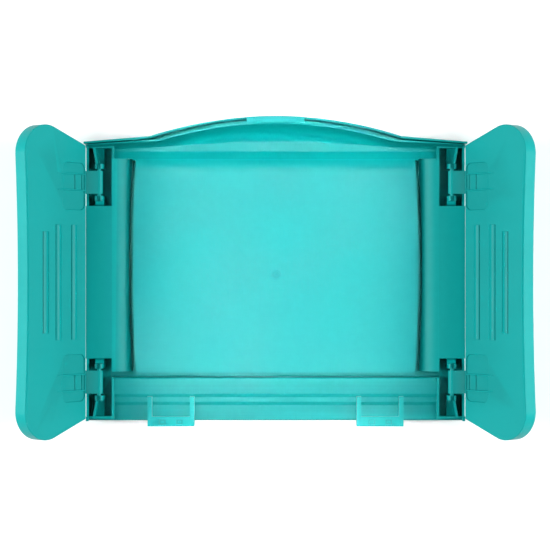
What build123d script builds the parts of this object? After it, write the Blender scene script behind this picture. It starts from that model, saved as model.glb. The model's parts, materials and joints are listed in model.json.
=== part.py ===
from build123d import *

import os
from math import asin, cos, radians, sin, tan

# Hinged storage-case lid, lying on its outer face with its inside up.
# X runs along the lid, +Y points to the finger side (front), -Y to the hinge
# side (rear) and +Z out of the open inside. Millimetres. The origin is the
# middle of the whole object's footprint, on the plane it stands on.

# ---------------------------------------------------------------- driving sizes
WALL = 2.4                    # moulded wall
LID_END_X = 190.0             # end edges of the lid
REAR_EDGE_Y = -145.0          # rear edge of the lid

PANEL_Z = 20.0                # inner face of the centre panel
PANEL_EDGE_X = 140.5          # centre panel's half width at its corners
PANEL_BOW = 3.0               # its sides bow out by this much
PANEL_REAR_Y = -96.5
PANEL_FRONT_Y = 104.0         # from here the floor rises to the front wall
PANEL_CORNER_R = 4.5

GROOVE_WIDTH = 4.3            # hollow of the stacking ridge, beside the panel
GROOVE_REAR_Y = -101.5
GROOVE_FRONT_Y = 117.0
GROOVE_FLOOR_Z = 2.5

STRIP_REAR_Y = -95.5          # raised end strips
STRIP_FRONT_Y = 118.5
STRIP_EDGE_Z = 27.0           # strip height at the lid's end edge
STRIP_ROLL_X = 163.0          # from here the strip rolls over towards the groove
STRIP_SLOPE = 8.6             # degrees by which the strip falls before it rolls over
STRIP_ROLL_R = 24.0
STRIP_INNER_X = 144.0

SHELF_Z = 21.0                # rear shelf, then two steps down to the flange
LEDGE_Z = 18.5
FLANGE_Z = 16.0
REAR_WALL_FOOT_Z = 8.0
REAR_RIM_DEPTH = 4.5
STEP_R = 1.5                  # softening of the steps
SHELF_CORNER_R = 9.0
REAR_TOP = [                  # (y, z) line down the steps, from the groove to the rear edge
    (GROOVE_REAR_Y, SHELF_Z),
    (-118.4, SHELF_Z),
    (-121.0, LEDGE_Z),
    (-126.6, LEDGE_Z),
    (-129.2, FLANGE_Z),
    (REAR_EDGE_Y, FLANGE_Z),
]
RISER_SHIFT = 1.4             # the underside's risers stand this much further back

CHANNEL_REAR_Y = 126.0        # channel along the foot of the front wall
CHANNEL_FRONT_Y = 132.0
CHANNEL_Z = 14.5
FLOOR_ROLL = (14.0, 1.8)      # the floor has fallen by the second at the first's distance
RIM_Z = 33.0                  # rim of the front wall
RIM_END_Y = 131.8             # its outer face at the lid's ends,
RIM_KNEE = (116.5, 137.0)     # where the arch begins
RIM_CROWN_Y = 154.6           # and at the crown of the arch
NOTCH_X = 187.2               # the wall's upper corners stop short, clear of the flaps
NOTCH_Z = 28.5
BOWL = [                      # inside of the front wall: height, knee and crown
    (CHANNEL_Z - 0.5, 130.0, 134.0),
    (18.0, 132.0, 142.5),
    (24.0, 133.4, 148.2),
    (RIM_Z + 0.01, 135.0, 152.6),
]
HOLLOW_HALF = 75.0            # hollow under the bulge
HOLLOW_R = 640.0
BOWL_END_DROP = 3.5           # the wall stands this much further back at the lid's ends

SKIRT_WALL = 2.2              # outer skirt, a second wall in front of the rim
SKIRT_TOP_Z = 31.0
SKIRT_FOOT_Z = 12.0
SKIRT_END_X = 192.0
SKIRT_END_Y = 134.9           # its outer face at the ends,
SKIRT_KNEE = (126.0, 140.3)   # where its arch begins
SKIRT_CROWN_Y = 160.5         # and at the crown
SKIRT_BACK_Y = 120.0          # the skirt's ends are cut off here
FINGER_TAB_HALF = 29.0
FINGER_TAB_FOOT_Z = 27.0

FLAP_CENTRE_Y = -5.7
FLAP_ANGLE = 50.0             # the flap rises this far from flat when fully open
FLAP_ROOT_X = 189.9           # its root edge hangs just over the lid's end edge
FLAP_ROOT_Z = 28.0
FLAP_THICKNESS = 2.6
FLAP_REACH = 81.6             # root to free edge
FLAP_HOLLOW = 3.3             # the free edge curves in by this much
FLAP_ROOT_HALF = 136.9        # half length along the root
FLAP_FLARE = 20.7             # degrees by which each end splays out
FLAP_CORNER_R = 29.0
FLAP_RIM_DEPTH = 14.0         # turned-back rim of the flap
FLAP_RIM_ROOT_DEPTH = 3.0
FLAP_RIM_TAPER = (-1.0, 45.0) # its depth grows from just behind the root to this far out
FLAP_RIM_WALL = 2.2
RECESS_DEPTH = 1.2            # shallow recesses beside the hinges
RECESS_START = 1.5
RECESS_REACH = 31.5
RECESS_MIDDLE = 95.5
RECESS_LENGTH = 47.0
RECESS_CORNER_R = 6.0
RIB_OFFSET = 8.0              # ribs lie this far either side of the hinge's middle
RIB_HALF = 0.5
RIB_REACH = 38.0
RIB_TOP = 0.4
CROSS_RIBS = (4.5, 14.0)      # two short ribs across, at these reaches from the root
RIDGE_HALF_WIDTH = 4.0        # catch ridges
CATCH_RIDGES = [              # reach from the root, half length and height of each
    (16.0, 57.0, 1.5),
    (37.0, 57.0, 1.5),
    (54.0, 50.0, 0.7),
]
FLAP_ROOT_SPARE = 10.0        # the outline is drawn past the root, then cut there

HINGE_OFFSET = 100.0          # each hinge's middle from the flap's middle
PIN_X = 176.8
PIN_Z = 26.0
PIN_R = 2.0
PIN_CLEARANCE = 0.06
TAB_WIDTH = 23.0
BARREL_R = 3.8
TAB_HEEL = (5.8, -0.6)        # lower bend of the crank, from the pin's centre
TAB_INNER_RISE = 0.4          # its underside starts this far above the pin's centre
CLIP_R = 4.3
CLIP_MOUTH = 3.3              # narrower than the pin, so the pin snaps in
CLIP_START = 13.5             # clip faces, from the hinge's middle
CLIP_END = 18.5
CORNER_ARM_Z = 14.0           # the arm towards the lid's corner is the lower one
BRACE_AT_CLIP = (1.5, 3.7)    # slanted brace on it, measured from the pin in X
BRACE_AT_WALL = (4.4, 6.6)
BRACE_DROP = 2.0              # its top lies this far below the pin's centre

POCKET_INNER_X = 164.5        # hinge pocket, from here to the low end wall
POCKET_FLOOR_Z = 4.4
POCKET_MIDDLE_SIDE = 23.5     # from the hinge's middle towards the lid's middle
POCKET_CORNER_SIDE = 34.8     # and towards the lid's corner
POCKET_SILL_Z = 22.0          # the hinge tab passes over this end wall

LOOP_X = 105.0                # rear hinge loops
LOOP_HALF = 23.5
LOOP_RIB = 4.5
LOOP_FRONT_Y = -120.5
LOOP_REAR_Y = -150.5
LOOP_BAR_DEPTH = 10.0
LOOP_TOP_Z = 25.0
LOOP_BAR_Z = 21.0             # underside of the cross bar
LOOP_FOOT_Z = 12.0
LOOP_MARK_X = 8.5             # two small square sinks in the cross bar
LOOP_MARK_Y = 4.6
LOOP_MARK_DEPTH = 1.2
LOOP_MARK_SIZE = (6.4, 4.6)
LOOP_BOSS_SIZE = (3.6, 2.2)   # each sink has a small block left standing in it

SIDES = {"left": -1, "right": 1}
ENDS = {"front": 1, "rear": -1}
BIG = 400.0                   # larger than the object, for cutters


# ---------------------------------------------------------------- small helpers
def block(x_limits, y_limits, z_limits):
    """A box given by its limits along each axis, in any order."""
    limits = [sorted(pair) for pair in (x_limits, y_limits, z_limits)]
    size = [high - low for low, high in limits]
    middle = [(high + low) / 2 for low, high in limits]
    return Pos(*middle) * Box(*size)


def upright(face, z_low, z_high):
    """Extrude a face drawn on the XY plane between two heights."""
    return Pos(0, 0, z_low) * extrude(face, z_high - z_low, dir=(0, 0, 1))


def from_profile(edges, y_low, y_high):
    """Extrude a closed outline of (x, z) edges along Y."""
    face = make_face([Rot(90, 0, 0) * edge for edge in edges])
    return Pos(0, y_low, 0) * extrude(face, y_high - y_low, dir=(0, 1, 0))


def chain(*points):
    """Straight (x, y) edges from point to point."""
    return [Line(start, end) for start, end in zip(points, points[1:])]


def round_corner(face, point, radius):
    """Fillet the corner of a flat face that lies nearest to a point."""
    corner = face.vertices().sort_by_distance(Vector(*point))[0]
    return fillet(corner, radius)


def side_copy(solid, side):
    """A right-hand solid, or its mirror image for the left-hand side."""
    return solid if side > 0 else mirror(solid, about=Plane.YZ)


# ---------------------------------------------------------------- plan outlines
def arched_face(end, knee, crown_y, back_y):
    """Plan with a straight back, straight front ends and an arched middle."""
    left_knee = (-knee[0], knee[1])
    arch = ThreePointArc(left_knee, (0, crown_y), knee)
    rest = chain(knee, end, (end[0], back_y), (-end[0], back_y), (-end[0], end[1]), left_knee)
    return make_face([arch, *rest])


def skirt_face(inset, end_x, back_y):
    """Plan inside the outer skirt, set in from that skirt's outer face."""
    knee = (SKIRT_KNEE[0], SKIRT_KNEE[1] - inset)
    return arched_face((end_x, SKIRT_END_Y - inset), knee, SKIRT_CROWN_Y - inset, back_y)


def rim_face(inset, end_x, back_y):
    """Plan inside the front wall, set in from that wall's outer face at its rim."""
    knee = (RIM_KNEE[0], RIM_KNEE[1] - inset)
    return arched_face((end_x, RIM_END_Y - inset), knee, RIM_CROWN_Y - inset, back_y)


def bowed_face(margin, rear_y, front_y, rear_corner=0.0):
    """Plan of the centre panel grown sideways by a margin, between two Y values."""
    side_x = PANEL_EDGE_X + margin
    middle_y = (PANEL_REAR_Y + GROOVE_FRONT_Y) / 2
    rear_right, front_right = (side_x, PANEL_REAR_Y), (side_x, GROOVE_FRONT_Y)
    rear_left, front_left = (-side_x, PANEL_REAR_Y), (-side_x, GROOVE_FRONT_Y)
    right = ThreePointArc(rear_right, (side_x + PANEL_BOW, middle_y), front_right)
    left = ThreePointArc(rear_left, (-side_x - PANEL_BOW, middle_y), front_left)
    body = make_face([right, left, Line(rear_left, rear_right), Line(front_left, front_right)])
    if rear_y < PANEL_REAR_Y:
        body += Pos(0, (rear_y + PANEL_REAR_Y) / 2) * Rectangle(2 * side_x, PANEL_REAR_Y - rear_y)
    if front_y > GROOVE_FRONT_Y:
        body += Pos(0, (front_y + GROOVE_FRONT_Y) / 2) * Rectangle(2 * side_x, front_y - GROOVE_FRONT_Y)
    face = body.faces()[0]
    if rear_corner:
        for corner_x in (-side_x, side_x):
            face = round_corner(face.faces()[0], (corner_x, rear_y), rear_corner)
    return face


# ---------------------------------------------------------------- lid moulding
def strip_top(depth=0.0):
    """Right-hand end strip's top line, or the line at a depth below it, from the end inwards."""
    lean = radians(STRIP_SLOPE)
    roll_z = STRIP_EDGE_Z - (LID_END_X - STRIP_ROLL_X) * tan(lean)
    centre = (STRIP_ROLL_X + STRIP_ROLL_R * sin(lean), roll_z - STRIP_ROLL_R * cos(lean))
    radius = STRIP_ROLL_R - depth

    def on_roll(angle):
        return centre[0] - radius * sin(angle), centre[1] + radius * cos(angle)

    steepest = asin((centre[0] - STRIP_INNER_X) / STRIP_ROLL_R)
    start = on_roll(lean)
    beyond = LID_END_X + WALL - start[0]
    return [
        Line((start[0] + beyond, start[1] + beyond * tan(lean)), start),
        ThreePointArc(start, on_roll((lean + steepest) / 2), on_roll(steepest)),
    ]


def above_strip():
    """Everything above the right-hand end strip's top surface."""
    line = strip_top()
    edge, inner = line[0] @ 0, line[-1] @ 1
    closing = chain((inner.X, inner.Y), (inner.X, BIG), (edge.X, BIG), (edge.X, edge.Y))
    return from_profile([*line, *closing], STRIP_REAR_Y, STRIP_FRONT_Y)


def end_strip():
    """Right-hand raised strip with its end wall and the short drops at its two ends."""
    top = strip_top()
    under = strip_top(WALL)
    closing = [Line(top[0] @ 0, under[0] @ 0), Line(top[-1] @ 1, under[-1] @ 1)]
    plate = from_profile([*top, *under, *closing], STRIP_REAR_Y, STRIP_FRONT_Y)
    plate = plate & block((0, LID_END_X), (-BIG, BIG), (0, BIG))
    foot_z = PANEL_Z - 2 * WALL
    across = (STRIP_INNER_X, LID_END_X)
    drops = block(across, (STRIP_FRONT_Y - WALL, STRIP_FRONT_Y), (foot_z, STRIP_EDGE_Z))
    drops += block(across, (STRIP_REAR_Y, STRIP_REAR_Y + WALL), (foot_z, STRIP_EDGE_Z))
    end_wall = block((LID_END_X - WALL, LID_END_X), (REAR_EDGE_Y, RIM_END_Y), (SKIRT_FOOT_Z, STRIP_EDGE_Z))
    return plate + drops + end_wall


def rear_prism(lower_line):
    """Extrude the rear steps' (y, z) section along the lid, its top corners softened."""
    face = make_face(Polyline(*REAR_TOP, *lower_line, close=True))
    for point in REAR_TOP:
        face = round_corner(face.faces()[0], point, STEP_R)
    half = POCKET_INNER_X
    return Pos(-half, 0, 0) * extrude(Plane.YZ * face, 2 * half, dir=(1, 0, 0))


def rear_steps():
    """Rear shelf, stepping down through a ledge to the flange, with soft risers."""
    under = [
        (REAR_EDGE_Y, REAR_WALL_FOOT_Z),
        (REAR_EDGE_Y + WALL, REAR_WALL_FOOT_Z),
        (REAR_EDGE_Y + WALL, FLANGE_Z - WALL),
    ]
    under += [(y - RISER_SHIFT, z - WALL) for y, z in reversed(REAR_TOP[1:-1])]
    under.append((GROOVE_REAR_Y, SHELF_Z - WALL))
    steps = rear_prism(under)
    middle_x = POCKET_INNER_X - SHELF_CORNER_R
    middle_y = GROOVE_REAR_Y - SHELF_CORNER_R
    corner = block((middle_x, POCKET_INNER_X + 1), (middle_y, GROOVE_REAR_Y + 1), (0, RIM_Z))
    corner -= Pos(middle_x, middle_y, RIM_Z / 2) * Cylinder(SHELF_CORNER_R, 2 * RIM_Z)
    return steps - corner - side_copy(corner, -1)


def stacking_ridge():
    """Tall hollow ridge round three sides of the panel, which the lid stands on."""
    top_z = PANEL_Z - WALL
    outer = bowed_face(GROOVE_WIDTH + WALL, GROOVE_REAR_Y - WALL, GROOVE_FRONT_Y + WALL)
    inner = bowed_face(-WALL, PANEL_REAR_Y, GROOVE_FRONT_Y - WALL)
    arm_limits = (GROOVE_REAR_Y - WALL, STRIP_REAR_Y + WALL)
    arms = block((-POCKET_INNER_X, POCKET_INNER_X), arm_limits, (0, top_z))
    hollow = upright(inner, 0, top_z) - block((-BIG, BIG), (-BIG, PANEL_REAR_Y + WALL), (0, top_z))
    hollow = hollow & block((-BIG, BIG), (-BIG, GROOVE_FRONT_Y), (0, top_z))
    return upright(outer, 0, top_z) + arms - hollow


def groove():
    """The hollow inside the stacking ridge, open to the lid's inside."""
    z_limits = (GROOVE_FLOOR_Z, STRIP_EDGE_Z + WALL)
    channel = upright(bowed_face(GROOVE_WIDTH, GROOVE_REAR_Y, GROOVE_FRONT_Y), *z_limits)
    arms = block((-POCKET_INNER_X - WALL, POCKET_INNER_X + WALL), (GROOVE_REAR_Y, STRIP_REAR_Y), z_limits)
    kept = bowed_face(0.0, PANEL_REAR_Y, GROOVE_FRONT_Y + WALL, PANEL_CORNER_R)
    return channel + arms - upright(kept, *z_limits)


def front_floor_line(drop=0.0):
    """(y, z) line from the panel down into the channel, then on under the wall."""
    lip = (CHANNEL_REAR_Y, CHANNEL_Z - drop)
    crest = (PANEL_FRONT_Y, PANEL_Z - drop)
    run, fall = FLOOR_ROLL
    roll = ThreePointArc(crest, (PANEL_FRONT_Y + run, PANEL_Z - fall - drop), lip)
    return [roll, *chain(lip, (SKIRT_CROWN_Y, CHANNEL_Z - drop))]


def along_lid(edges, half):
    """Extrude a closed outline of (y, z) edges along X, equally to both sides."""
    return Pos(-half, 0, 0) * extrude(Plane.YZ * make_face(edges), 2 * half, dir=(1, 0, 0))


def front_floor():
    """Floor plate that rolls down from the panel into the channel, between the end strips."""
    top = front_floor_line()
    under = front_floor_line(WALL)
    closing = [Line(top[0] @ 0, under[0] @ 0), Line(top[-1] @ 1, under[-1] @ 1)]
    beside = block((PANEL_EDGE_X + GROOVE_WIDTH + WALL, BIG), (0, STRIP_FRONT_Y - WALL), (0, BIG))
    return along_lid([*top, *under, *closing], LID_END_X) - beside - side_copy(beside, -1)


def wall_bowl():
    """The space inside the front wall, wider towards its rim."""
    sections = []
    for height, knee_y, crown_y in BOWL:
        end = (LID_END_X + WALL, knee_y - BOWL_END_DROP)
        plan = arched_face(end, (RIM_KNEE[0], knee_y), crown_y, CHANNEL_REAR_Y)
        sections.append(Pos(0, 0, height) * plan)
    return loft(sections)


def wall_hollow():
    """Hollow under the bulge of the front wall, which keeps the wall thin."""
    height, _, crown_y = BOWL[1]
    back = (0.0, crown_y + WALL - HOLLOW_R)
    plan = rim_face(WALL, HOLLOW_HALF, CHANNEL_FRONT_Y) - Pos(*back) * Circle(HOLLOW_R)
    return upright(plan, 0, height - WALL)


def front_wall():
    """Front of the lid: a floor rolling down to a channel, then a bulged wall up to the rim."""
    foot_z = CHANNEL_Z - WALL
    bowl = wall_bowl()
    body = upright(rim_face(0.0, LID_END_X, CHANNEL_FRONT_Y - 2 * WALL), foot_z, RIM_Z) - bowl
    within_skirt = upright(skirt_face(SKIRT_WALL, LID_END_X, 0.0), 0, BIG)
    return ((body + front_floor()) & within_skirt) - wall_hollow()


def flap_notches():
    """Upper corners of the front wall, cut away where the flaps' rims swing past."""
    notch = block((NOTCH_X, BIG), (CHANNEL_REAR_Y, RIM_END_Y + WALL), (NOTCH_Z, BIG))
    return notch + side_copy(notch, -1)


# ---------------------------------------------------------------- hinge pockets
def hinge_y(end):
    """Middle of the front (+1) or rear (-1) hinge."""
    return FLAP_CENTRE_Y + end * HINGE_OFFSET


def pocket_limits(end):
    """Y limits of a pocket's hollow, lid-middle side first."""
    return hinge_y(end) - end * POCKET_MIDDLE_SIDE, hinge_y(end) + end * POCKET_CORNER_SIDE


def pocket_box(end):
    """Right-hand pocket's walls and floor, still filled in."""
    middle_y, corner_y = pocket_limits(end)
    limits = (middle_y - end * WALL, corner_y + end * WALL)
    return block((POCKET_INNER_X - WALL, LID_END_X), limits, (POCKET_FLOOR_Z - WALL, POCKET_SILL_Z))


def pocket_hollow(end):
    """Right-hand pocket's hollow, open above, with the low sill at the end wall."""
    well = block((POCKET_INNER_X, LID_END_X - WALL), pocket_limits(end), (POCKET_FLOOR_Z, BIG))
    doorway = block((LID_END_X - 2 * WALL, LID_END_X + WALL), pocket_limits(end), (POCKET_SILL_Z, BIG))
    return well + doorway


def rear_rim():
    """Rear edge wall that closes the rear pockets and carries on the flange."""
    front_y = REAR_EDGE_Y + REAR_RIM_DEPTH
    outline = [
        (REAR_EDGE_Y, FLANGE_Z),
        (REAR_EDGE_Y, REAR_WALL_FOOT_Z),
        (front_y, REAR_WALL_FOOT_Z),
        (front_y, FLANGE_Z),
    ]
    face = round_corner(make_face(Polyline(*outline, close=True)), outline[0], STEP_R)
    return Pos(-LID_END_X, 0, 0) * extrude(Plane.YZ * face, 2 * LID_END_X, dir=(1, 0, 0))


def pin_clips(end):
    """Right-hand pair of snap clips for one hinge, on their arms in the pocket."""
    middle = hinge_y(end)
    bore_r = PIN_R + PIN_CLEARANCE
    solids = []
    arms = ((-end, POCKET_MIDDLE_SIDE, POCKET_SILL_Z), (end, POCKET_CORNER_SIDE, CORNER_ARM_Z))
    for towards, reach, arm_top in arms:
        near = middle + towards * CLIP_START
        far = middle + towards * CLIP_END
        ring_middle = (near + far) / 2
        ring = Pos(PIN_X, ring_middle, PIN_Z) * Rot(90, 0, 0) * Cylinder(CLIP_R, CLIP_END - CLIP_START)
        post = block((PIN_X - CLIP_R, PIN_X + CLIP_R), (near, far), (POCKET_FLOOR_Z, PIN_Z))
        arm_limits = (far, middle + towards * reach)
        arm = block((PIN_X - CLIP_R, PIN_X + CLIP_R), arm_limits, (POCKET_FLOOR_Z, arm_top))
        bore = Pos(PIN_X, ring_middle, PIN_Z) * Rot(90, 0, 0) * Cylinder(bore_r, CLIP_END)
        mouth_limits = (PIN_X - CLIP_MOUTH / 2, PIN_X + CLIP_MOUTH / 2)
        mouth = block(mouth_limits, (near - towards, far + towards), (PIN_Z, BIG))
        clip = ring + post + arm - bore - mouth
        if towards == end:
            clip += brace(far, middle + towards * reach)
        solids.append(clip)
    return solids


def brace(clip_y, wall_y):
    """Thin slanted rib from the outer clip to the pocket's corner wall."""
    foot = [(PIN_X + x, clip_y) for x in BRACE_AT_CLIP]
    foot += [(PIN_X + x, wall_y) for x in reversed(BRACE_AT_WALL)]
    return upright(make_face(Polyline(*foot, close=True)), POCKET_FLOOR_Z, PIN_Z - BRACE_DROP)


# ---------------------------------------------------------------- whole lid shell
def lid_shell():
    """The lid's one moulding, without the parts that stand on it."""
    plan = bowed_face(0.0, PANEL_REAR_Y, GROOVE_FRONT_Y, PANEL_CORNER_R)
    panel = upright(plan, PANEL_Z - WALL, PANEL_Z) - block((-BIG, BIG), (PANEL_FRONT_Y, BIG), (0, BIG))
    sides = end_strip() + pocket_box(1) + pocket_box(-1)
    shell = stacking_ridge() + panel + rear_steps() + rear_rim()
    shell += sides
    shell += side_copy(sides, -1)
    shell += front_wall()
    shell -= groove() + flap_notches()
    shell -= above_strip()
    shell -= side_copy(above_strip(), -1)
    for end in ENDS.values():
        hollow = pocket_hollow(end)
        shell -= hollow
        shell -= side_copy(hollow, -1)
    return shell


# ---------------------------------------------------------------- outer skirt
def front_skirt():
    """Second wall in front of the rim."""
    band = skirt_face(0.0, SKIRT_END_X, 0.0) - skirt_face(SKIRT_WALL, SKIRT_END_X + WALL, -WALL)
    skirt = upright(band, SKIRT_FOOT_Z, SKIRT_TOP_Z)
    return skirt & block((-BIG, BIG), (SKIRT_BACK_Y, BIG), (0, BIG))


def finger_tab():
    """Flat bridge over both front walls, where fingers lift the lid."""
    plug = skirt_face(SKIRT_WALL, BIG / 2, 0.0) - rim_face(0.0, BIG / 2, -WALL)
    cap = skirt_face(0.0, BIG / 2, 0.0) - rim_face(0.0, BIG / 2, -WALL)
    middle = (-FINGER_TAB_HALF, FINGER_TAB_HALF)
    bridge = upright(plug, FINGER_TAB_FOOT_Z, RIM_Z) + upright(cap, SKIRT_TOP_Z, RIM_Z)
    return bridge & block(middle, (SKIRT_BACK_Y, BIG), (0, BIG))


# ---------------------------------------------------------------- hinge loops
def hinge_loop():
    """Right-hand rear loop: two ribs joined by a cross bar, standing on the lid."""
    x_low, x_high = LOOP_X - LOOP_HALF, LOOP_X + LOOP_HALF
    loop = block((x_low, x_high), (LOOP_REAR_Y, LOOP_REAR_Y + LOOP_BAR_DEPTH), (LOOP_BAR_Z, LOOP_TOP_Z))
    for rib_limits in ((x_low, x_low + LOOP_RIB), (x_high - LOOP_RIB, x_high)):
        loop += block(rib_limits, (LOOP_REAR_Y, LOOP_FRONT_Y), (LOOP_FOOT_Z, LOOP_TOP_Z))
    loop -= rear_prism([(REAR_EDGE_Y, 0), (GROOVE_REAR_Y, 0)])
    for offset in (-LOOP_MARK_X, LOOP_MARK_X):
        middle = Pos(LOOP_X + offset, LOOP_REAR_Y + LOOP_MARK_Y, LOOP_TOP_Z)
        loop -= middle * Box(*LOOP_MARK_SIZE, 2 * LOOP_MARK_DEPTH)
        loop += middle * Pos(0, 0, -LOOP_MARK_DEPTH) * Box(*LOOP_BOSS_SIZE, LOOP_MARK_DEPTH)
    return loop


# ---------------------------------------------------------------- flap
def flap_outline():
    """Flap seen square on: x is the reach from the root, y runs along the root."""
    slope = tan(radians(FLAP_FLARE))
    root = (-FLAP_ROOT_SPARE, FLAP_ROOT_HALF - FLAP_ROOT_SPARE * slope)
    tip_y = FLAP_ROOT_HALF + FLAP_REACH * slope
    touch = FLAP_CORNER_R / tan(radians(90.0 - FLAP_FLARE) / 2)
    end_touch = (FLAP_REACH - touch * cos(radians(FLAP_FLARE)), tip_y - touch * sin(radians(FLAP_FLARE)))
    edge_touch = (FLAP_REACH, tip_y - touch)
    turn = radians(90.0 + FLAP_FLARE) / 2
    centre = (FLAP_REACH - FLAP_CORNER_R, tip_y - touch)
    bend = (centre[0] + FLAP_CORNER_R * cos(turn), centre[1] + FLAP_CORNER_R * sin(turn))
    upper = [Line(root, end_touch), ThreePointArc(end_touch, bend, edge_touch)]
    lower = [mirror(edge, about=Plane.XZ) for edge in upper]
    free_edge = ThreePointArc(
        edge_touch, (FLAP_REACH - FLAP_HOLLOW, 0.0), (edge_touch[0], -edge_touch[1])
    )
    return [*upper, free_edge, *lower, Line((root[0], -root[1]), root)]


def flap_face(inset):
    """The flap's outline from its root outwards, set in along the free edges."""
    face = make_face(flap_outline())
    if inset:
        face = offset(face, -inset)
    return face & (Pos(BIG / 2, 0) * Rectangle(BIG, BIG))


def in_place(solid):
    """Move a flap drawn flat, inner face up at z 0, to the right-hand rest pose."""
    return Pos(FLAP_ROOT_X, FLAP_CENTRE_Y, FLAP_ROOT_Z) * Rot(0, -FLAP_ANGLE, 0) * solid


def flap_panel():
    """Flap's plate, with shallow recesses and small ribs beside each hinge."""
    plate = upright(flap_face(FLAP_RIM_WALL), -FLAP_THICKNESS, 0)
    for end in ENDS.values():
        recess = Pos((RECESS_START + RECESS_REACH) / 2, end * RECESS_MIDDLE) * RectangleRounded(
            RECESS_REACH - RECESS_START, RECESS_LENGTH, RECESS_CORNER_R
        )
        plate -= upright(recess, -RECESS_DEPTH, 1)
        for side in (-1, 1):
            rib_y = end * HINGE_OFFSET + side * RIB_OFFSET
            rib_limits = (rib_y - RIB_HALF, rib_y + RIB_HALF)
            plate += block((RECESS_START, RIB_REACH), rib_limits, (-FLAP_THICKNESS, RIB_TOP))
        across = (end * HINGE_OFFSET - RIB_OFFSET, end * HINGE_OFFSET + RIB_OFFSET)
        for rib_x in CROSS_RIBS:
            plate += block((rib_x - RIB_HALF, rib_x + RIB_HALF), across, (-FLAP_THICKNESS, 0))
    return in_place(plate)


def flap_rim():
    """Rim turned back round the flap's three free edges, shallower towards the root."""
    band = flap_face(0.0) - flap_face(FLAP_RIM_WALL)
    rim = upright(band, -FLAP_RIM_DEPTH, 0)
    start, full = FLAP_RIM_TAPER
    below = chain(
        (start, -FLAP_RIM_ROOT_DEPTH),
        (full, -FLAP_RIM_DEPTH),
        (full, -BIG),
        (start, -BIG),
        (start, -FLAP_RIM_ROOT_DEPTH),
    )
    return in_place(rim - from_profile(below, -BIG / 2, BIG / 2))


def catch_ridges():
    """Long low ridges on the flap's inner face that snap over a case's rim."""
    ridges = []
    for reach, half_length, height in CATCH_RIDGES:
        radius = (RIDGE_HALF_WIDTH**2 + height**2) / (2 * height)
        bar = Pos(reach, 0, height - radius) * Rot(90, 0, 0) * Cylinder(radius, 2 * half_length)
        ridge = bar & block((0, BIG), (-BIG, BIG), (0, BIG))
        ridges.append(in_place(ridge.solids()[0]))
    return ridges


def hinge_tab(end):
    """Crank plate from the flap's root to the barrel that holds the pin."""
    lean = radians(FLAP_ANGLE)
    back = (FLAP_ROOT_X + FLAP_THICKNESS * sin(lean), FLAP_ROOT_Z - FLAP_THICKNESS * cos(lean))
    outline = chain(
        (FLAP_ROOT_X, FLAP_ROOT_Z),
        (PIN_X, PIN_Z + BARREL_R),
        (PIN_X, PIN_Z + TAB_INNER_RISE),
        (PIN_X + TAB_HEEL[0], PIN_Z + TAB_HEEL[1]),
        back,
        (FLAP_ROOT_X, FLAP_ROOT_Z),
    )
    middle = hinge_y(end)
    limits = (middle - TAB_WIDTH / 2, middle + TAB_WIDTH / 2)
    tab = from_profile(outline, *limits)
    across = Pos(PIN_X, middle, PIN_Z) * Rot(90, 0, 0)
    return tab + across * Cylinder(BARREL_R, TAB_WIDTH) - across * Cylinder(PIN_R, 2 * TAB_WIDTH)


def hinge_pin(end):
    """Pin through the barrel, with a stub in the clip on each side."""
    return Pos(PIN_X, hinge_y(end), PIN_Z) * Rot(90, 0, 0) * Cylinder(PIN_R, 2 * CLIP_END)


# ---------------------------------------------------------------- write the parts
def save(name, *solids):
    """Write one node; a node of several solids is written as one group."""
    shape = solids[0] if len(solids) == 1 else Compound(children=list(solids))
    export_step(shape, f"parts/{name}.step")


def main():
    os.makedirs("parts", exist_ok=True)
    shell = lid_shell()
    skirt = front_skirt()
    save("lid_shell", shell)
    save("front_skirt", skirt)
    save("finger_tab", finger_tab() - skirt)
    loop = hinge_loop()
    clips = {end: [clip - shell for clip in pin_clips(end)] for end in ENDS.values()}
    for side_name, side in SIDES.items():
        save(f"{side_name}_hinge_loop", side_copy(loop, side))
        save(f"{side_name}_flap_panel", side_copy(flap_panel(), side))
        save(f"{side_name}_flap_rim", side_copy(flap_rim(), side))
        save(f"{side_name}_catch_ridges", *[side_copy(ridge, side) for ridge in catch_ridges()])
        for end_name, end in ENDS.items():
            save(f"{side_name}_{end_name}_pin_clips", *[side_copy(clip, side) for clip in clips[end]])
            save(f"{side_name}_{end_name}_hinge_tab", side_copy(hinge_tab(end), side))
            save(f"{side_name}_{end_name}_hinge_pin", side_copy(hinge_pin(end), side))


main()
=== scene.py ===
import json
import math

import bmesh
import bpy
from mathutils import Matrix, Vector
from mathutils.bvhtree import BVHTree


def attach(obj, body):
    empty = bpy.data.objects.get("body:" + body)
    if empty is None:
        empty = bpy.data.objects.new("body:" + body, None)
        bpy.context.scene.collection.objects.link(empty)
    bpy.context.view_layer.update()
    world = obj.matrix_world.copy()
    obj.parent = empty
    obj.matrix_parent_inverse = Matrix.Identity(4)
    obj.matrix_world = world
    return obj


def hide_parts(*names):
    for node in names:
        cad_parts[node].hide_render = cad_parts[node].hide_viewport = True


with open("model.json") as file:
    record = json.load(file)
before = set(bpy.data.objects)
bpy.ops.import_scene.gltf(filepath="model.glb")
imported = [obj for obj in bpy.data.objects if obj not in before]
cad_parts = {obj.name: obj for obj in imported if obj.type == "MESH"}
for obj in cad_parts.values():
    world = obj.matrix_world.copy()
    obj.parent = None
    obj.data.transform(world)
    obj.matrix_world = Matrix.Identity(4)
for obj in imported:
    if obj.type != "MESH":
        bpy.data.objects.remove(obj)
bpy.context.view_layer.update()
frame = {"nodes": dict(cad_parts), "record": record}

# A hinged storage-case lid with two latch flaps, moulded in turquoise plastic.
# It lies on its outer face with its inside up. Metres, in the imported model's frame.

MILLIMETRE = 0.001

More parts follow.
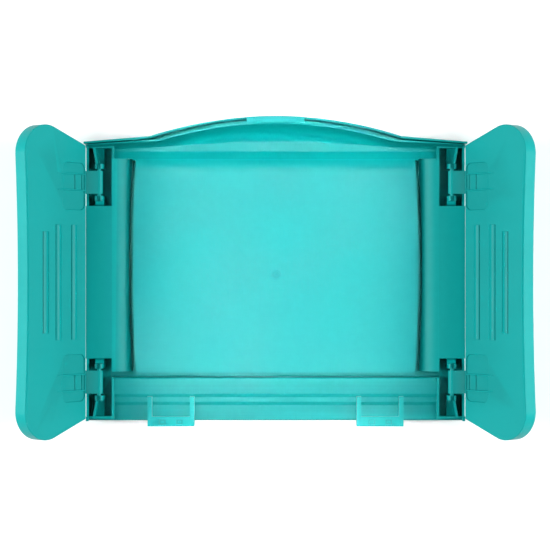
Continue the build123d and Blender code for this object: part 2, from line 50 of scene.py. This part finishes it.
# ---------------------------------------------------------------- camera and light
CAMERA_PLACE = (-0.0005, 0.0015, 1.83)     # straight above the middle of the panel
CAMERA_LENS = 117.8
BACKGROUND_LIGHT = 0.10
SIDE_LIGHT_POWER = 35.0
SIDE_LIGHT_SIZE = (0.55, 1.5)
SIDE_LIGHT_PLACE = (1.45, 0.0, 0.92)
TOP_LIGHT_POWER = 1.03
TOP_LIGHT_SIZE = (0.27, 1.2)
TOP_LIGHT_PLACE = (0.0, 0.0, 1.95)
TOP_LIGHT_SPREAD = math.radians(3.6)

FLOOR_SIZE = 6.0
FLOOR_GLOW = 0.12                          # keeps the background white
FLOOR_TONES = ((0.93, 0.93, 0.93, 1.0), (0.95, 0.95, 0.95, 1.0))
FLOOR_GRAIN_SCALE = 40.0
FLOOR_ROUGHNESS = 0.9
WHITE = (1.0, 1.0, 1.0, 1.0)

# ---------------------------------------------------------------- moulded edges
EDGE_RADIUS = 0.5 * MILLIMETRE
EDGE_SEGMENTS = 2
ROUNDING_SPACE = 2.4 * EDGE_RADIUS         # shorter edges nearby make the rounding smaller
EDGE_ANGLE = math.radians(24.0)            # sharper than this is an edge, not a curve
WELD_DISTANCE = 0.002 * MILLIMETRE
FLAT_ANGLE = math.radians(0.04)            # small, so that curved faces keep their facets
TOUCH_DISTANCE = 0.06 * MILLIMETRE

# ---------------------------------------------------------------- gate mark
PANEL_HEIGHT = 20.0 * MILLIMETRE
GATE_X = 0.5 * MILLIMETRE
GATE_Y = 1.5 * MILLIMETRE
GATE_STEPS = 40
GATE_PROFILE = [                           # radius and height of each ring, in millimetres
    (0.3, 0.60),
    (1.0, 0.45),
    (1.5, 0.08),
    (3.0, 0.08),
    (3.6, 0.50),
    (4.3, 0.50),
    (5.0, -0.05),
]

# ---------------------------------------------------------------- plastic texture
FLOW_SCALE = 9.0                           # broad marks of the plastic's flow
FLOW_STRETCH = (1.0, 2.4, 1.0)
FLOW_SHARE = 0.35
MOTTLE_SCALE = 140.0
MOTTLE_SHARE = 0.10
WORN_AND_HIGHLIGHT_POINTINESS = (0.515, 0.58)            # edges this pointed are paler: partly wear, partly a painted highlight
WORN_AND_HIGHLIGHT_SHARE = 0.55
SCRATCH_SCALE = 60.0
SCRATCH_STRETCH = (1.0, 14.0, 3.0)
SCRATCH_RANGE = (0.62, 0.72)
SCRATCH_ROUGHNESS = 0.10
CLOUD_SCALE = 22.0
CLOUD_ROUGHNESS = (-0.04, 0.05)            # roughness varies by this much
GRAIN_SCALE = 1900.0
GRAIN_HEIGHT = 0.03 * MILLIMETRE
GRAIN_STRENGTH = 0.5
SINK_SCALE = 16.0                          # shallow sink marks over the ribs
SINK_HEIGHT = 0.6 * MILLIMETRE
SINK_STRENGTH = 0.35
PLASTIC_IOR = 1.49
PLASTIC_SPECULAR = 0.12


# ---------------------------------------------------------------- node helpers
class Nodes:
    """A material's node tree, with short calls to add and join nodes."""

    def __init__(self, name):
        self.material = bpy.data.materials.new(name)
        self.material.use_nodes = True
        self.tree = self.material.node_tree
        self.shader = self.tree.nodes["Principled BSDF"]
        self.place = self.add("ShaderNodeTexCoord").outputs["Object"]

    def add(self, kind, **settings):
        node = self.tree.nodes.new(kind)
        for key, value in settings.items():
            setattr(node, key, value)
        return node

    def join(self, output, target):
        self.tree.links.new(output, target)

    def noise(self, scale, detail=2.0, roughness=0.5, place=None):
        node = self.add("ShaderNodeTexNoise")
        node.inputs["Scale"].default_value = scale
        node.inputs["Detail"].default_value = detail
        node.inputs["Roughness"].default_value = roughness
        self.join(place or self.place, node.inputs["Vector"])
        return node.outputs["Fac"]

    def stretched(self, factors):
        node = self.add("ShaderNodeMapping")
        node.inputs["Scale"].default_value = factors
        self.join(self.place, node.inputs["Vector"])
        return node.outputs["Vector"]

    def spread(self, value, low, high, to_low, to_high):
        """Map a value from one range to another, held at the ends."""
        node = self.add("ShaderNodeMapRange")
        numbers = {"From Min": low, "From Max": high, "To Min": to_low, "To Max": to_high}
        for socket, number in numbers.items():
            node.inputs[socket].default_value = number
        self.join(value, node.inputs["Value"])
        return node.outputs["Result"]

    def combine(self, operation, first, second):
        node = self.add("ShaderNodeMath", operation=operation)
        for socket, value in zip(node.inputs, (first, second)):
            if isinstance(value, (int, float)):
                socket.default_value = value
            else:
                self.join(value, socket)
        return node.outputs["Value"]

    def blend(self, share, first, second):
        """Mix two colours."""
        node = self.add("ShaderNodeMix", data_type="RGBA")
        self.join(share, node.inputs["Factor"])
        colours = [s for s in node.inputs if s.type == "RGBA"]
        for socket, value in zip(colours, (first, second)):
            if isinstance(value, tuple):
                socket.default_value = value
            else:
                self.join(value, socket)
        return [s for s in node.outputs if s.type == "RGBA"][0]

    def bump(self, height, distance, strength, below=None):
        node = self.add("ShaderNodeBump")
        node.inputs["Distance"].default_value = distance
        node.inputs["Strength"].default_value = strength
        self.join(height, node.inputs["Height"])
        if below is not None:
            self.join(below, node.inputs["Normal"])
        return node.outputs["Normal"]


# ---------------------------------------------------------------- materials
def moulded_plastic(name, colour, pale, deep, roughness):
    """Semi-gloss moulded plastic: fine grain, flow marks, handling scratches, and pale edges that are
    partly wear and partly a painted highlight.
    """
    nodes = Nodes(name)
    shader = nodes.shader
    flow = nodes.noise(FLOW_SCALE, 3.0, 0.55, nodes.stretched(FLOW_STRETCH))
    mottle = nodes.noise(MOTTLE_SCALE, 4.0, 0.6)
    tone = nodes.blend(nodes.spread(flow, 0.35, 0.65, 0.0, FLOW_SHARE), colour, deep)
    tone = nodes.blend(nodes.spread(mottle, 0.4, 0.75, 0.0, MOTTLE_SHARE), tone, pale)
    # Pointed edges are painted paler: partly wear, partly a painted highlight on the rounded edges.
    edge = nodes.add("ShaderNodeNewGeometry").outputs["Pointiness"]
    tone = nodes.blend(nodes.spread(edge, *WORN_AND_HIGHLIGHT_POINTINESS, 0.0, WORN_AND_HIGHLIGHT_SHARE), tone, pale)
    nodes.join(tone, shader.inputs["Base Color"])
    scratch = nodes.noise(SCRATCH_SCALE, 6.0, 0.7, nodes.stretched(SCRATCH_STRETCH))
    scratched = nodes.spread(scratch, *SCRATCH_RANGE, 0.0, SCRATCH_ROUGHNESS)
    smoothest, roughest = (roughness + change for change in CLOUD_ROUGHNESS)
    cloudy = nodes.spread(nodes.noise(CLOUD_SCALE, 3.0), 0.3, 0.7, smoothest, roughest)
    nodes.join(nodes.combine("ADD", cloudy, scratched), shader.inputs["Roughness"])
    grain = nodes.bump(nodes.noise(GRAIN_SCALE, 2.0), GRAIN_HEIGHT, GRAIN_STRENGTH)
    sink = nodes.bump(nodes.noise(SINK_SCALE, 1.0), SINK_HEIGHT, SINK_STRENGTH, grain)
    nodes.join(sink, shader.inputs["Normal"])
    shader.inputs["IOR"].default_value = PLASTIC_IOR
    shader.inputs["Specular IOR Level"].default_value = PLASTIC_SPECULAR
    return nodes.material


# The flap teal is a lighter copy of the lid teal: painted light that stands in for the light falling on
# the tilted flaps and their clips.
LID_TEAL = (0.0, 0.270, 0.260, 1.0)
FLAP_TEAL_PAINTED_LIGHTER = (0.0, 0.345, 0.335, 1.0)
PALE_TEAL = (0.0, 0.420, 0.410, 1.0)
DEEP_TEAL = (0.0, 0.262, 0.252, 1.0)
FINISHES = {
    "lid_plastic": moulded_plastic("lid moulded plastic", LID_TEAL, PALE_TEAL, DEEP_TEAL, 0.42),
    "flap_plastic": moulded_plastic("flap moulded plastic", FLAP_TEAL_PAINTED_LIGHTER, PALE_TEAL, DEEP_TEAL, 0.38),
    "clip_plastic": moulded_plastic("clip moulded plastic", FLAP_TEAL_PAINTED_LIGHTER, PALE_TEAL, DEEP_TEAL, 0.36),
}


# ---------------------------------------------------------------- moulded pieces
def welded(node_name):
    """A CAD node's mesh with its facets joined into whole faces, as an edit mesh."""
    shape = bmesh.new()
    shape.from_mesh(frame["nodes"][node_name].data)
    bmesh.ops.remove_doubles(shape, verts=shape.verts, dist=WELD_DISTANCE)
    bmesh.ops.dissolve_limit(shape, angle_limit=FLAT_ANGLE, verts=shape.verts, edges=shape.edges)
    return shape


def touches(trees, point):
    """Whether a point lies on another node's surface."""
    return any(tree.find_nearest(point, TOUCH_DISTANCE)[0] is not None for tree in trees)


def share_of_rounding(edge):
    """Full rounding where the edges around this one leave space for it, less where they are short."""
    nearby = {near for corner in edge.verts for near in corner.link_edges}
    shortest = min(near.calc_length() for near in nearby)
    return min(1.0, shortest / ROUNDING_SPACE)


def moulded(node_name, body, slot_name, trees):
    """A node's visible piece: its edges are rounded, except where it meets another node."""
    shape = welded(node_name)
    weights = shape.edges.layers.float.new("bevel_weight_edge")
    others = [tree for name, tree in trees.items() if name != node_name]
    for edge in shape.edges:
        if len(edge.link_faces) != 2 or edge.calc_face_angle(0.0) < EDGE_ANGLE:
            continue
        middle = (edge.verts[0].co + edge.verts[1].co) / 2
        if not touches(others, middle):
            edge[weights] = share_of_rounding(edge)
    for face in shape.faces:
        face.smooth = True
    mesh = bpy.data.meshes.new(node_name + "_piece")
    shape.to_mesh(mesh)
    shape.free()
    piece = bpy.data.objects.new(node_name + "_piece", mesh)
    bpy.context.scene.collection.objects.link(piece)
    piece.data.materials.append(FINISHES[slot_name])
    bevel = piece.modifiers.new("rounded edges", "BEVEL")
    bevel.width = EDGE_RADIUS
    bevel.segments = EDGE_SEGMENTS
    bevel.limit_method = "WEIGHT"
    normals = piece.modifiers.new("even shading", "WEIGHTED_NORMAL")
    normals.keep_sharp = True
    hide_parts(node_name)
    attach(piece, body)
    return piece


def moulded_pieces():
    slots = {row["node"]: row["material_slot"] for row in frame["record"]["subparts"]}
    for body, members in frame["record"]["behaviour"]["bodies"].items():
        trees = {}
        for name in members:
            mesh = frame["nodes"][name].data
            corners = [vertex.co for vertex in mesh.vertices]
            trees[name] = BVHTree.FromPolygons(corners, [list(face.vertices) for face in mesh.polygons])
        for name in members:
            moulded(name, body, slots[name], trees)


moulded_pieces()


def gate_mark():
    """Small round mark in the middle of the panel, where the plastic was injected."""
    shape = bmesh.new()
    angles = [math.tau * step / GATE_STEPS for step in range(GATE_STEPS)]
    rings = []
    for radius, height in GATE_PROFILE:
        ring = []
        for angle in angles:
            x = GATE_X + radius * MILLIMETRE * math.cos(angle)
            y = GATE_Y + radius * MILLIMETRE * math.sin(angle)
            ring.append(shape.verts.new((x, y, PANEL_HEIGHT + height * MILLIMETRE)))
        rings.append(ring)
    for inner, outer in zip(rings, rings[1:]):
        for step in range(GATE_STEPS):
            after = (step + 1) % GATE_STEPS
            shape.faces.new((inner[step], outer[step], outer[after], inner[after]))
    shape.faces.new(rings[0])
    for face in shape.faces:
        face.smooth = True
    mesh = bpy.data.meshes.new("gate_mark")
    shape.to_mesh(mesh)
    shape.free()
    mark = bpy.data.objects.new("gate_mark", mesh)
    bpy.context.scene.collection.objects.link(mark)
    mesh.materials.append(FINISHES["lid_plastic"])
    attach(mark, "lid")


gate_mark()


# ---------------------------------------------------------------- floor, camera, lights
def floor():
    nodes = Nodes("pale floor")
    grain = nodes.noise(FLOOR_GRAIN_SCALE, 4.0)
    tone = nodes.blend(nodes.spread(grain, 0.3, 0.7, 0.0, 1.0), *FLOOR_TONES)
    nodes.join(tone, nodes.shader.inputs["Base Color"])
    nodes.shader.inputs["Roughness"].default_value = FLOOR_ROUGHNESS
    nodes.shader.inputs["Emission Color"].default_value = WHITE
    nodes.shader.inputs["Emission Strength"].default_value = FLOOR_GLOW
    half = FLOOR_SIZE / 2
    mesh = bpy.data.meshes.new("floor")
    corners = [(-half, -half, 0), (half, -half, 0), (half, half, 0), (-half, half, 0)]
    mesh.from_pydata(corners, [], [(0, 1, 2, 3)])
    mesh.materials.append(nodes.material)
    plane = bpy.data.objects.new("floor", mesh)
    bpy.context.scene.collection.objects.link(plane)


def soft_light(name, place, size, power, spread=math.pi):
    """A soft box that faces the object's foot; size is (across, along Y)."""
    light = bpy.data.lights.new(name, "AREA")
    light.shape = "RECTANGLE"
    light.size, light.size_y = size
    light.energy = power
    light.spread = spread
    box = bpy.data.objects.new(name, light)
    box.location = place
    box.rotation_euler = (-Vector(place)).to_track_quat("-Z", "Y").to_euler()
    box.visible_camera = False
    bpy.context.scene.collection.objects.link(box)


def studio_lights():
    x, y, z = SIDE_LIGHT_PLACE
    for side_name, side in (("left", -1), ("right", 1)):
        soft_light(side_name + " light", (side * x, y, z), SIDE_LIGHT_SIZE, SIDE_LIGHT_POWER)
    soft_light("top light", TOP_LIGHT_PLACE, TOP_LIGHT_SIZE, TOP_LIGHT_POWER, TOP_LIGHT_SPREAD)


def background():
    world = bpy.data.worlds.new("studio")
    world.use_nodes = True
    light = world.node_tree.nodes["Background"]
    light.inputs["Color"].default_value = WHITE
    light.inputs["Strength"].default_value = BACKGROUND_LIGHT
    bpy.context.scene.world = world


def camera():
    lens = bpy.data.cameras.new("camera")
    lens.lens = CAMERA_LENS
    view = bpy.data.objects.new("camera", lens)
    view.location = CAMERA_PLACE
    bpy.context.scene.collection.objects.link(view)
    bpy.context.scene.camera = view


floor()
background()
camera()
studio_lights()
bpy.context.scene.view_settings.view_transform = "Standard"
